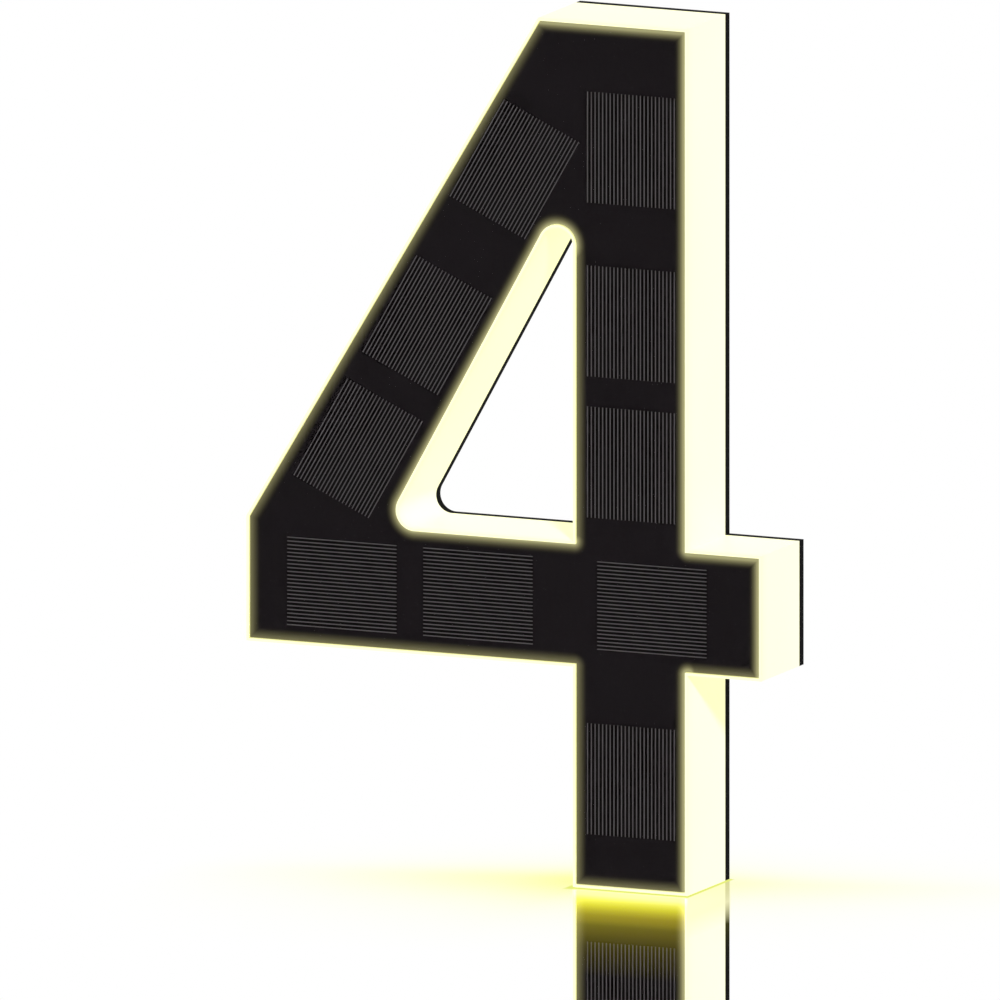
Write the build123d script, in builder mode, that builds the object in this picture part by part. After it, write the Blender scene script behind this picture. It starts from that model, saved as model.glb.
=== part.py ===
"""Illuminated house number "4": a hollow opal letter with a solar face and a black back cover.

The numeral faces -Y and its back lies on the wall at Y = 0. X is 0 on the stem's centreline and Z is 0
at the centre of the upper keyhole's round entry. Levels are distances from the wall.
"""

import os
from math import atan2, cos, degrees, radians, sin, tan

from build123d import *

os.makedirs("parts", exist_ok=True)

# Outline of the numeral, over the opal housing
height = 200.0
stem_width = 28.4
bar_height = 28.9
bar_rise = 50.9  # foot to the underside of the crossbar
reach_left = 95.3  # stem centreline to the crossbar's left end
reach_right = 32.6  # stem centreline to the crossbar's right end
top_left = 22.9  # stem centreline to the top edge's left corner
counter_left = 60.4  # stem centreline to the counter's left corner before rounding
counter_drop = 36.5  # top edge to the counter's apex before rounding
counter_radius = 4.0

# Housing and back cover
back_thickness = 2.4
shell_wall = 2.0
web_thickness = 1.6
rim_width = 0.6  # thin opal rim left showing round the black face
boss_radius = 3.0
boss_sink = 0.4  # how far a boss runs into the wall beside it
pilot_radius = 1.15
rib_thickness = 1.2
locating_rim_height = 2.0
locating_rim_width = 1.2
locating_clearance = 0.15

# Face laminate and solar cells
board_thickness = 1.6
film_thickness = 0.5
face_clearance = 0.1
cell_thickness = 0.25
cell_clearance = 0.1
stem_cell_length = 25.6
stem_cell_margin = 3.2
bar_cell_length = 27.2
bar_cell_margin = 4.15
arm_cell_length = 27.0
arm_cell_margin = 3.4
arm_cell_end_slope = 24.6  # degrees that the ends of the slanted cells fall to the right

# Seals
seal_inset = 0.4
seal_width = 1.2
seal_thickness = 0.8

# Cover screws
screw_length = 8.0
screw_radius = 1.1
screw_hole_radius = 1.4
screw_head_radius = 2.3
screw_head_sink = 0.2

# Keyholes for the wall screws
keyhole_drop = 26.0  # top edge to the upper keyhole's entry
keyhole_spacing = 150.0
keyhole_entry_radius = 4.25
keyhole_slot_radius = 2.2
keyhole_travel = 8.0
keyhole_pocket_room = 0.5
keyhole_pocket_depth = 4.0
pocket_wall = 1.2

# Rechargeable cell and its holder
battery_radius = 7.1
battery_length = 50.0
holder_start = 11.3  # crossbar's left end to the holder
holder_floor = 1.0
holder_wall = 1.2
holder_end_wall = 1.6
holder_clearance = 0.2
holder_wall_height = 9.0
holder_window_length = 26.0  # finger gap through the side walls
holder_window_sill = 3.0
contact_thickness = 0.4
contact_bow = 1.8
contact_width = 8.0

# Light boards and light chips
light_board_width = 8.0
light_board_thickness = 1.0
light_board_end_room = 8.0
light_board_gap = 1.5
stake_length = 2.4  # across the board
stake_thickness = 1.0
stake_clearance = 0.1
stake_end_room = 3.5
stake_stand = 0.6
chip_width = 2.8
chip_length = 3.5
chip_height = 0.8
chip_pitch = 17.0
link_width = 2.0
link_thickness = 0.5
link_lap = 1.8
light_gap = 0.6  # light chips to the rechargeable cell

# Control board
control_length = 44.0
control_rise = 34.0  # crossbar to the middle of the board
control_side_room = 1.2
control_thickness = 1.2
post_radius = 2.0
post_pilot_radius = 0.8
post_inset = 2.6
control_screw_radius = 0.75
control_screw_length = 4.0
control_screw_head_radius = 1.7
control_screw_head_height = 1.2

# Components on the front of the control board, and the flat leads inside
chip_body = (5.0, 4.0, 1.0)
inductor_body = (6.0, 6.0, 3.0)
capacitor_radius = 2.5
capacitor_height = 6.0
socket_body = (6.0, 4.5, 4.0)
socket_rise = 8.0  # middle of the board to the panel and light sockets
battery_socket_rise = 3.0  # lower end of the board to the battery socket
component_inset = 5.15  # side of the board to the parts that stand beside its centreline
component_drop = 8.0  # middle of the board to the inductor and the capacitor
lead_width = 2.4
lead_thickness = 1.2
lead_clearance = 0.4
lead_stand = 0.6  # board to the battery lead
lead_bend_radius = 5.0

# Power button and switch
button_radius = 4.0
button_recess = 0.6  # button face to the wall
button_travel = 1.5
button_clearance = 0.15
button_flange_radius = 6.0
button_flange_thickness = 1.0
button_flange_clearance = 0.1
button_offset = 11.0  # below the middle of the control board
button_seal_width = 1.0
button_seal_lip = 1.0  # cover wall left behind the seal
switch_width = 7.0
switch_height = 3.8
plunger_radius = 1.5
plunger_clearance = 0.1
plunger_engagement = 1.5
stop_clearance = 0.2

# Heights of the numeral's main edges
half_stem = stem_width / 2
top = keyhole_drop
foot = top - height
bar_low = foot + bar_rise
bar_high = bar_low + bar_height
bar_mid = (bar_low + bar_high) / 2
counter_rise = top - counter_drop - bar_high

# Levels through the depth, outwards from the wall
holder_level = back_thickness
battery_level = holder_level + holder_floor + battery_radius
chip_level = battery_level + battery_radius + light_gap
light_board_level = chip_level + chip_height
ceiling_level = light_board_level + light_board_thickness
recess_level = ceiling_level + web_thickness
film_level = recess_level + board_thickness
face_level = film_level + film_thickness
cell_level = film_level - cell_thickness
flange_level = back_thickness + button_flange_clearance
flange_front_level = flange_level + button_flange_thickness
switch_level = flange_front_level + button_travel + stop_clearance
control_level = switch_level + switch_height
control_front_level = control_level + control_thickness

# The slanted arm between its outer edge and the counter
outer_run = (reach_left - top_left) / (top - bar_high)
counter_run = (counter_left - half_stem) / counter_rise
arm_lean = (atan2(1, outer_run) + atan2(1, counter_run)) / 2


def level(distance):
    """Sketch plane at a distance from the wall, seen from the front."""
    return Plane.XZ.offset(distance)


def arm_edges(z):
    """The arm's outer edge and its counter edge at a height."""
    return outer_run * (z - bar_high) - reach_left, counter_run * (z - bar_high) - counter_left


def arm_middle(z):
    """A point on the arm's middle line."""
    return sum(arm_edges(z)) / 2, z


def outer_face(inset):
    """The numeral's outside, drawn in by an inset."""
    with BuildSketch() as face:
        with BuildLine():
            Polyline(
                (-half_stem, foot),
                (half_stem, foot),
                (half_stem, bar_low),
                (reach_right, bar_low),
                (reach_right, bar_high),
                (half_stem, bar_high),
                (half_stem, top),
                (-top_left, top),
                (-reach_left, bar_high),
                (-reach_left, bar_low),
                (-half_stem, bar_low),
                close=True,
            )
        make_face()
        if inset:
            offset(amount=-inset, kind=Kind.INTERSECTION)
    return face.sketch


def counter_face(growth):
    """The counter, the triangular opening of the numeral, grown by an amount."""
    with BuildSketch() as face:
        with BuildLine():
            Polyline(
                (-half_stem, bar_high),
                (-half_stem, bar_high + counter_rise),
                (-counter_left, bar_high),
                close=True,
            )
        make_face()
        apex = face.vertices().sort_by(Axis.Y)[-1]
        left_corner = face.vertices().sort_by(Axis.X)[0]
        fillet([apex, left_corner], radius=counter_radius)
        if growth:
            offset(amount=growth, kind=Kind.INTERSECTION)
    return face.sketch


def numeral_face(inset):
    """The whole numeral with its counter, drawn in by an inset on every side."""
    with BuildSketch() as face:
        add(outer_face(inset))
        add(counter_face(inset), mode=Mode.SUBTRACT)
    return face.sketch


def spread(start, end, size, shares):
    """Centres of pieces of one size between two ends, which share the free length."""
    free = (end - start - size * (len(shares) - 1)) / sum(shares)
    centres = []
    edge = start
    for share in shares[:-1]:
        edge += free * share
        centres.append(edge + size / 2)
        edge += size
    return centres


def save(node, name):
    """Label a finished piece and write its file."""
    node.part.label = name
    export_step(node.part, f"parts/{name}.step")


# Solar cells: the free length is shared among the gaps as the face shows them
stem_cell_width = stem_width - 2 * stem_cell_margin
bar_cell_width = bar_height - 2 * bar_cell_margin
upper_stem_centres = spread(bar_high, top, stem_cell_length, (5.7, 7.0, 14.5, 16.2))
lower_stem_centre = spread(foot, bar_low, stem_cell_length, (12.4, 12.9))[0]
bar_centres = spread(-reach_left, reach_right, bar_cell_length, (9.9, 6.6, 16.0, 13.8))
arm_heights = [bar_high + share * (top - bar_high) for share in (0.705, 0.392, 0.145)]
arm_room = arm_edges(arm_heights[0])[1] - arm_edges(arm_heights[0])[0] - 2 * arm_cell_margin
end_slope = radians(arm_cell_end_slope)
arm_cell_width = arm_room / (cos(end_slope) + sin(end_slope) / tan(arm_lean))


def stem_cell_face(z, growth):
    """Outline of a stem cell, grown by a clearance for its pocket."""
    with BuildSketch() as face:
        with Locations((0, z)):
            Rectangle(stem_cell_width + 2 * growth, stem_cell_length + 2 * growth)
    return face.sketch


def bar_cell_face(x, growth):
    """Outline of a crossbar cell."""
    with BuildSketch() as face:
        with Locations((x, bar_mid)):
            Rectangle(bar_cell_length + 2 * growth, bar_cell_width + 2 * growth)
    return face.sketch


def arm_cell_face(z, growth):
    """Outline of a slanted cell: its sides follow the arm and its ends fall to the right."""
    middle = Vector(*arm_middle(z))
    along = Vector(cos(arm_lean), sin(arm_lean)) * (arm_cell_length / 2)
    across = Vector(cos(end_slope), -sin(end_slope)) * (arm_cell_width / 2)
    with BuildSketch() as face:
        with BuildLine():
            Polyline(
                middle + along - across,
                middle + along + across,
                middle - along + across,
                middle - along - across,
                close=True,
            )
        make_face()
        if growth:
            offset(amount=growth, kind=Kind.INTERSECTION)
    return face.sketch


cell_faces = {}
for number, z in enumerate(reversed(upper_stem_centres), start=1):
    cell_faces[f"stem_cell_{number}"] = (stem_cell_face, z)
cell_faces["stem_cell_4"] = (stem_cell_face, lower_stem_centre)
for number, z in enumerate(arm_heights, start=1):
    cell_faces[f"arm_cell_{number}"] = (arm_cell_face, z)
for number, x in enumerate(bar_centres, start=1):
    cell_faces[f"bar_cell_{number}"] = (bar_cell_face, x)

for name, (outline, place) in cell_faces.items():
    with BuildPart() as solar_cell:
        with BuildSketch(level(cell_level)):
            add(outline(place, 0))
        extrude(amount=cell_thickness)
    save(solar_cell, name)

with BuildPart() as solar_board:
    with BuildSketch(level(recess_level)):
        add(numeral_face(rim_width + face_clearance))
    extrude(amount=board_thickness)
    for outline, place in cell_faces.values():
        with BuildSketch(level(cell_level)):
            add(outline(place, cell_clearance))
        extrude(amount=cell_thickness, mode=Mode.SUBTRACT)
save(solar_board, "solar_board")

with BuildPart() as front_film:
    with BuildSketch(level(film_level)):
        add(numeral_face(rim_width + face_clearance))
    extrude(amount=film_thickness)
save(front_film, "front_film")

# Countersunk heads run straight into the shank
sink_angle = 45
screw_head_height = screw_head_radius - screw_radius
screw_sink_depth = screw_head_radius + screw_head_sink - screw_hole_radius

# Screws stand in the numeral's corners, drawn in so that their bosses join the walls
screw_inset = shell_wall + boss_radius - boss_sink
arm_screw_z = top - screw_inset
screw_points = [
    (-half_stem + screw_inset, foot + screw_inset),
    (half_stem - screw_inset, foot + screw_inset),
    (reach_right - screw_inset, bar_low + screw_inset),
    (-reach_left + screw_inset, bar_low + screw_inset),
    (half_stem - screw_inset, top - screw_inset),
    (arm_edges(arm_screw_z)[0] + screw_inset / sin(atan2(1, outer_run)), arm_screw_z),
]

# Light boards lie under the housing's web, one along each stroke: middle, length and turn
stem_board = ((0, (top + foot) / 2), height - 2 * light_board_end_room, 90)
branch = light_board_width / 2 + light_board_gap
bar_board_left = -reach_left + light_board_end_room
bar_board = (((bar_board_left - branch) / 2, bar_mid), -branch - bar_board_left, 0)
tip_board_right = reach_right - shell_wall - light_board_gap
tip_board = (((tip_board_right + branch) / 2, bar_mid), tip_board_right - branch, 0)
arm_board_low = bar_high + light_board_end_room
arm_board_high = bar_high + counter_rise
arm_board = (
    arm_middle((arm_board_low + arm_board_high) / 2),
    (arm_board_high - arm_board_low) / sin(arm_lean),
    degrees(arm_lean),
)
light_boards = {"stem": stem_board, "arm": arm_board, "bar": bar_board, "tip": tip_board}


def along_board(board, distance):
    """A point at a distance from a light board's middle, along the board."""
    (x, z), _, turn = board
    return x + distance * cos(radians(turn)), z + distance * sin(radians(turn))


def stake_points(board):
    """The two stakes that hold a light board, near its ends."""
    reach = board[1] / 2 - stake_end_room
    return [along_board(board, -reach), along_board(board, reach)]


def stake_face(board, growth):
    """The flat stakes that hold a light board, or the slots for them."""
    with BuildSketch() as face:
        with Locations(*stake_points(board)):
            Rectangle(
                stake_thickness + 2 * growth,
                stake_length + 2 * growth,
                rotation=board[2],
            )
    return face.sketch


def chip_distances(board):
    """Distances of the light chips from the board's middle, evenly spaced."""
    room = board[1] - 4 * stake_end_room
    count = max(1, int(room / chip_pitch))
    return [chip_pitch * (index - (count - 1) / 2) for index in range(count)]


for stroke, board in light_boards.items():
    middle, length, turn = board
    with BuildPart() as light_board:
        with BuildSketch(level(light_board_level)):
            with Locations(middle):
                Rectangle(length, light_board_width, rotation=turn)
            add(stake_face(board, stake_clearance), mode=Mode.SUBTRACT)
        extrude(amount=light_board_thickness)
    save(light_board, f"led_board_{stroke}")

with BuildPart() as led_packages:
    for board in light_boards.values():
        for distance in chip_distances(board):
            with BuildSketch(level(chip_level)):
                with Locations(along_board(board, distance)):
                    Rectangle(chip_length, chip_width, rotation=board[2])
            extrude(amount=chip_height)
save(led_packages, "led_packages")

# Control board on two posts of the cover, in the stem above the crossbar
control_middle = (0, bar_high + control_rise)
control_width = stem_width - 2 * (
    shell_wall + locating_clearance + locating_rim_width + control_side_room
)
post_reach = (control_width / 2 - post_inset, control_length / 2 - post_inset)
post_points = [
    (control_middle[0] - post_reach[0], control_middle[1] + post_reach[1]),
    (control_middle[0] + post_reach[0], control_middle[1] - post_reach[1]),
]
button_middle = (0, control_middle[1] - button_offset)
button_hole_radius = button_radius + button_clearance
button_seal_radius = button_hole_radius + button_seal_width
panel_socket = (
    light_board_width / 2 + light_board_gap / 2 + lead_width / 2,
    control_middle[1] + socket_rise,
)
light_socket = (-light_board_width / 2 + lead_width / 2, control_middle[1] + socket_rise)
component_reach = control_width / 2 - component_inset
battery_socket = (-component_reach, control_middle[1] - control_length / 2 + battery_socket_rise)

# Ribs cross the strokes under the web, with a channel left for the light boards
rib_depth = ceiling_level - chip_level
stem_rib_heights = [foot + bar_rise / 2, (bar_high + top) / 2, top - keyhole_drop / 2]

with BuildPart() as diffuser_shell:
    with BuildSketch(level(back_thickness)):
        add(numeral_face(0))
    extrude(amount=face_level - back_thickness)
    with BuildSketch(level(back_thickness)):
        add(numeral_face(shell_wall))
    extrude(amount=ceiling_level - back_thickness, mode=Mode.SUBTRACT)
    with BuildSketch(level(recess_level)):
        add(numeral_face(rim_width))
    extrude(amount=face_level - recess_level, mode=Mode.SUBTRACT)
    with BuildSketch(level(chip_level)):
        with Locations(*[(0, z) for z in stem_rib_heights]):
            Rectangle(stem_width - shell_wall, rib_thickness)
        with Locations(arm_middle((bar_high + arm_heights[1]) / 2), arm_middle(arm_heights[1])):
            Rectangle(rib_thickness, stem_width - shell_wall, rotation=degrees(arm_lean))
        with Locations(((bar_board_left - branch) / 2, bar_mid), (-counter_left - shell_wall, bar_mid)):
            Rectangle(rib_thickness, bar_height - shell_wall)
        for middle, length, turn in light_boards.values():
            with Locations(middle):
                Rectangle(
                    length + light_board_gap,
                    light_board_width + light_board_gap,
                    rotation=turn,
                    mode=Mode.SUBTRACT,
                )
    extrude(amount=rib_depth)
    with BuildSketch(level(back_thickness)):
        with Locations(*screw_points):
            Circle(boss_radius)
    extrude(amount=ceiling_level - back_thickness)
    with BuildSketch(level(back_thickness)):
        with Locations(*screw_points):
            Circle(pilot_radius)
    extrude(amount=screw_length, mode=Mode.SUBTRACT)
    for board in light_boards.values():
        with BuildSketch(level(light_board_level - stake_stand)):
            add(stake_face(board, 0))
        extrude(amount=light_board_thickness + stake_stand)
    with BuildSketch(level(ceiling_level)):
        with Locations(panel_socket):
            Rectangle(lead_width + 2 * lead_clearance, lead_thickness + 2 * lead_clearance)
    extrude(amount=web_thickness, mode=Mode.SUBTRACT)
save(diffuser_shell, "diffuser_shell")

# Seals lie in grooves of the cover, under the housing's two walls
seal_level = back_thickness - seal_thickness

with BuildPart() as outer_seal:
    with BuildSketch(level(seal_level)):
        add(outer_face(seal_inset))
        add(outer_face(seal_inset + seal_width), mode=Mode.SUBTRACT)
    extrude(amount=seal_thickness)
save(outer_seal, "outer_seal")

with BuildPart() as counter_seal:
    with BuildSketch(level(seal_level)):
        add(counter_face(seal_inset + seal_width))
        add(counter_face(seal_inset), mode=Mode.SUBTRACT)
    extrude(amount=seal_thickness)
save(counter_seal, "counter_seal")

# Keyholes and the locating rim of the back cover
keyhole_points = [(0, 0), (0, -keyhole_spacing)]
rim_inset = shell_wall + locating_clearance
pocket_width = 2 * (keyhole_entry_radius + keyhole_pocket_room)
upright = 90


def keyhole_pocket_face(growth):
    """The pockets that take the wall screws' heads, over entry and slot."""
    with BuildSketch() as face:
        for x, z in keyhole_points:
            with Locations((x, z + keyhole_travel / 2)):
                Rectangle(pocket_width + 2 * growth, pocket_width + keyhole_travel + 2 * growth)
    return face.sketch


with BuildPart() as back_cover:
    with BuildSketch(level(0)):
        add(numeral_face(0))
    extrude(amount=back_thickness)
    with BuildSketch(level(back_thickness)):
        add(numeral_face(rim_inset))
        add(numeral_face(rim_inset + locating_rim_width), mode=Mode.SUBTRACT)
        with Locations(*screw_points):
            Circle(boss_radius + locating_clearance, mode=Mode.SUBTRACT)
    extrude(amount=locating_rim_height)
    with BuildSketch(level(seal_level)):
        add(outer_face(seal_inset))
        add(outer_face(seal_inset + seal_width), mode=Mode.SUBTRACT)
        add(counter_face(seal_inset + seal_width))
        add(counter_face(seal_inset), mode=Mode.SUBTRACT)
    extrude(amount=seal_thickness, mode=Mode.SUBTRACT)
    with BuildSketch(level(back_thickness)):
        add(keyhole_pocket_face(pocket_wall))
    extrude(amount=keyhole_pocket_depth + pocket_wall)
    with BuildSketch(level(back_thickness)):
        add(keyhole_pocket_face(0))
    extrude(amount=keyhole_pocket_depth, mode=Mode.SUBTRACT)
    with BuildSketch(level(0)):
        for x, z in keyhole_points:
            with Locations((x, z)):
                Circle(keyhole_entry_radius)
            with Locations((x, z + keyhole_travel / 2)):
                SlotCenterToCenter(keyhole_travel, 2 * keyhole_slot_radius, rotation=upright)
    extrude(amount=back_thickness, mode=Mode.SUBTRACT)
    with BuildSketch(level(back_thickness)):
        with Locations(*post_points):
            Circle(post_radius)
    extrude(amount=control_level - back_thickness)
    with BuildSketch(level(control_level)):
        with Locations(*post_points):
            Circle(post_pilot_radius)
    extrude(amount=-control_screw_length, mode=Mode.SUBTRACT)
    with BuildSketch(level(0)):
        with Locations(*screw_points):
            Circle(screw_head_radius + screw_head_sink)
    extrude(amount=screw_sink_depth, taper=sink_angle, mode=Mode.SUBTRACT)
    with BuildSketch(level(0)):
        with Locations(*screw_points):
            Circle(screw_hole_radius)
    extrude(amount=back_thickness, mode=Mode.SUBTRACT)
    with BuildSketch(level(0)):
        with Locations(button_middle):
            Circle(button_hole_radius)
    extrude(amount=back_thickness, mode=Mode.SUBTRACT)
    with BuildSketch(level(button_seal_lip)):
        with Locations(button_middle):
            Circle(button_seal_radius)
    extrude(amount=back_thickness - button_seal_lip, mode=Mode.SUBTRACT)
save(back_cover, "back_cover")

with BuildPart() as cover_screws:
    with BuildSketch(level(screw_head_sink)):
        with Locations(*screw_points):
            Circle(screw_head_radius)
    extrude(amount=screw_head_height, taper=sink_angle)
    with BuildSketch(level(screw_head_sink + screw_head_height)):
        with Locations(*screw_points):
            Circle(screw_radius)
    extrude(amount=screw_length)
save(cover_screws, "cover_screws")

with BuildPart() as button_seal:
    with BuildSketch(level(button_seal_lip)):
        with Locations(button_middle):
            Circle(button_seal_radius)
            Circle(button_hole_radius, mode=Mode.SUBTRACT)
    extrude(amount=back_thickness - button_seal_lip)
save(button_seal, "button_seal")

with BuildPart() as power_button:
    with BuildSketch(level(button_recess)):
        with Locations(button_middle):
            Circle(button_radius)
    extrude(amount=flange_level - button_recess)
    with BuildSketch(level(flange_level)):
        with Locations(button_middle):
            Circle(button_flange_radius)
    extrude(amount=button_flange_thickness)
save(power_button, "power_button")

plunger_length = switch_level - flange_front_level + plunger_engagement

with BuildPart() as switch_plunger:
    with BuildSketch(level(flange_front_level)):
        with Locations(button_middle):
            Circle(plunger_radius)
    extrude(amount=plunger_length)
save(switch_plunger, "switch_plunger")

with BuildPart() as switch_body:
    with BuildSketch(level(switch_level)):
        with Locations(button_middle):
            Rectangle(switch_width, switch_width)
    extrude(amount=switch_height)
    with BuildSketch(level(switch_level)):
        with Locations(button_middle):
            Circle(plunger_radius + plunger_clearance)
    extrude(amount=plunger_engagement + button_travel + stop_clearance, mode=Mode.SUBTRACT)
save(switch_body, "switch_body")

with BuildPart() as control_board:
    with BuildSketch(level(control_level)):
        with Locations(control_middle):
            Rectangle(control_width, control_length)
        with Locations(*post_points):
            Circle(control_screw_radius + stake_clearance, mode=Mode.SUBTRACT)
    extrude(amount=control_thickness)
save(control_board, "control_board")

with BuildPart() as control_screws:
    with BuildSketch(level(control_front_level)):
        with Locations(*post_points):
            Circle(control_screw_head_radius)
    extrude(amount=control_screw_head_height)
    with BuildSketch(level(control_front_level)):
        with Locations(*post_points):
            Circle(control_screw_radius)
    extrude(amount=-control_screw_length)
save(control_screws, "control_screws")

# Components stand on the board's front
socket_level = control_front_level + socket_body[2]

with BuildPart() as charge_chip:
    with BuildSketch(level(control_front_level)):
        with Locations(control_middle):
            Rectangle(chip_body[0], chip_body[1])
    extrude(amount=chip_body[2])
save(charge_chip, "charge_chip")

with BuildPart() as inductor:
    with BuildSketch(level(control_front_level)):
        with Locations((-component_reach, control_middle[1] - component_drop)):
            Rectangle(inductor_body[0], inductor_body[1])
    extrude(amount=inductor_body[2])
save(inductor, "inductor")

with BuildPart() as capacitor:
    with BuildSketch(level(control_front_level)):
        with Locations((component_reach, control_middle[1] - component_drop)):
            Circle(capacitor_radius)
    extrude(amount=capacitor_height)
save(capacitor, "capacitor")

with BuildPart() as lead_sockets:
    with BuildSketch(level(control_front_level)):
        with Locations(panel_socket, light_socket, battery_socket):
            Rectangle(socket_body[0], socket_body[1])
    extrude(amount=socket_body[2])
save(lead_sockets, "lead_sockets")

with BuildPart() as panel_lead:
    with BuildSketch(level(socket_level)):
        with Locations(panel_socket):
            Rectangle(lead_width, lead_thickness)
    extrude(amount=recess_level - socket_level)
save(panel_lead, "panel_lead")

with BuildPart() as light_lead:
    with BuildSketch(level(socket_level)):
        with Locations(light_socket):
            Rectangle(lead_width, lead_thickness)
    extrude(amount=light_board_level - socket_level)
save(light_lead, "light_lead")

with BuildPart() as light_links:
    with BuildSketch(level(light_board_level - link_thickness)):
        for side in (-1, 1):
            with Locations((side * (light_board_width + light_board_gap) / 2, bar_mid)):
                Rectangle(light_board_gap + 2 * link_lap, link_width)
        link_low = bar_mid + light_board_width / 2 - link_lap
        link_high = arm_board_low + link_lap
        with Locations((arm_middle(arm_board_low)[0], (link_low + link_high) / 2)):
            Rectangle(link_width, link_high - link_low)
    extrude(amount=link_thickness)
save(light_links, "light_links")

# Rechargeable cell in its open holder, along the crossbar
holder_inner_length = battery_length + contact_bow + 2 * contact_thickness
holder_length = holder_inner_length + 2 * holder_end_wall
holder_width = 2 * (battery_radius + holder_clearance + holder_wall)
holder_left = -reach_left + holder_start
holder_middle = (holder_left + holder_length / 2, bar_mid)
battery_right = holder_left + holder_end_wall + holder_inner_length - contact_thickness

with BuildPart() as battery_holder:
    with BuildSketch(level(holder_level)):
        with Locations(holder_middle):
            Rectangle(holder_length, holder_width)
    extrude(amount=holder_floor + holder_wall_height)
    with BuildSketch(level(holder_level + holder_floor)):
        with Locations(holder_middle):
            Rectangle(holder_inner_length, holder_width - 2 * holder_wall)
    extrude(amount=holder_wall_height, mode=Mode.SUBTRACT)
    with BuildSketch(level(holder_level + holder_floor + holder_window_sill)):
        with Locations(holder_middle):
            Rectangle(holder_window_length, holder_width)
    extrude(amount=holder_wall_height - holder_window_sill, mode=Mode.SUBTRACT)
save(battery_holder, "battery_holder")

with BuildPart() as battery_cell:
    with BuildSketch(Plane.YZ.offset(battery_right - battery_length)):
        with Locations((-battery_level, bar_mid)):
            Circle(battery_radius)
    extrude(amount=battery_length)
save(battery_cell, "battery_cell")

with BuildPart() as plate_contact:
    with BuildSketch(Plane.YZ.offset(battery_right)):
        with Locations((-battery_level, bar_mid)):
            Rectangle(contact_width, contact_width)
    extrude(amount=contact_thickness)
save(plate_contact, "plate_contact")

battery_lead_start = (holder_left + holder_length, bar_mid)
battery_lead_end = (battery_socket[0], battery_socket[1] - socket_body[1] / 2)

with BuildPart() as battery_lead:
    with BuildSketch(level(control_front_level + lead_stand)):
        with BuildLine():
            FilletPolyline(
                battery_lead_start,
                (battery_lead_end[0], battery_lead_start[1]),
                battery_lead_end,
                radius=lead_bend_radius,
            )
        trace(line_width=lead_width)
    extrude(amount=lead_thickness)
save(battery_lead, "battery_lead")

contact_foot = battery_right - battery_length - contact_bow

with BuildPart() as spring_contact:
    with BuildSketch(Plane.XY.offset(bar_mid - contact_width / 2)):
        with BuildLine():
            leaf = ThreePointArc(
                (contact_foot, -battery_level - contact_width / 2),
                (contact_foot + contact_bow, -battery_level),
                (contact_foot, -battery_level + contact_width / 2),
            )
            offset(leaf, amount=-contact_thickness, side=Side.LEFT)
        make_face()
    extrude(amount=contact_width)
save(spring_contact, "spring_contact")
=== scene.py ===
"""Looks of the illuminated house number "4": opal letter, solar face and black back cover.

Metres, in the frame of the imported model. The numeral faces -Y, and its back lies on the wall at Y = 0.
"""

from math import atan2, cos, radians, sin, tan, tau

import bmesh
import bpy
from mathutils import Matrix, Vector

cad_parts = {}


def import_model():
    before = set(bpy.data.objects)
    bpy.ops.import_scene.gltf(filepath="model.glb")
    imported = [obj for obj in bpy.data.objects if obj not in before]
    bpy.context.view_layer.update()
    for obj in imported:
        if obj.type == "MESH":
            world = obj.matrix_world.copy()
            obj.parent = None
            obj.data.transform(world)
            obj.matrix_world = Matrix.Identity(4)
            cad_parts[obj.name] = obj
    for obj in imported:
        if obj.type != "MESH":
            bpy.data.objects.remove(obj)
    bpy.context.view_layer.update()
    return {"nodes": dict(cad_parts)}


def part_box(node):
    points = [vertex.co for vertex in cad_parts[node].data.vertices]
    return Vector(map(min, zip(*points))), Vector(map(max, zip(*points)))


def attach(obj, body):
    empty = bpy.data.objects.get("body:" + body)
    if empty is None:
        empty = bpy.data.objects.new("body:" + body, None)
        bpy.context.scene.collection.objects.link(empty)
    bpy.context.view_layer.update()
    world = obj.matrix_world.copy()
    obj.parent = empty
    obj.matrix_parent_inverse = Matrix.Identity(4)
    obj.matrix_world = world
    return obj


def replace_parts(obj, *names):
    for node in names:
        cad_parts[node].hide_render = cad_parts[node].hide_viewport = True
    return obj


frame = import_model()
cad = frame["nodes"]
CELLS = [name for name in cad if "_cell_" in name]
MM = 0.001

# Numeral, over the opal housing
HALF_STEM = 14.2 * MM
TOP = 26.0 * MM
FOOT = -174.0 * MM
BAR_LOW = -123.1 * MM
BAR_HIGH = -94.2 * MM
REACH_LEFT = -95.3 * MM
REACH_RIGHT = 32.6 * MM
TOP_LEFT = -22.9 * MM
COUNTER_LEFT = -60.4 * MM
COUNTER_APEX = -10.5 * MM
COUNTER_RADIUS = 4.0 * MM
RIM_WIDTH = 0.6 * MM
COVER_LEVEL = 2.4 * MM  # levels are distances from the wall
FILM_LEVEL = 23.2 * MM
FACE_LEVEL = 23.7 * MM

# Painted glow of the opal, standing in for the light of the LEDs inside, by its share of the way from the
# face to the cover
OPAL_GLOW = [
    (0.0, (0.66, 0.65, 0.17, 1)),
    (0.05, (0.68, 0.67, 0.225, 1)),
    (0.16, (0.7, 0.69, 0.27, 1)),
    (1.0, (0.7, 0.69, 0.285, 1)),
]

# Painted glow of the rim on the face, as emission: strength at the rim, reach and falloff
OUTER_GLOW = (0.72, 3.0 * MM, 2.7)
OUTER_GLOW_MOST = 0.38
COUNTER_GLOW = (0.51, 3.0 * MM, 2.8)
SHADED_GLOW = (0.2, 2.7 * MM, 1.7)
GLOW_WEAK_TINT = (1.0, 0.93, 0.42, 1.0)
GLOW_STRONG_TINT = (1.0, 1.0, 0.52, 1.0)

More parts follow.
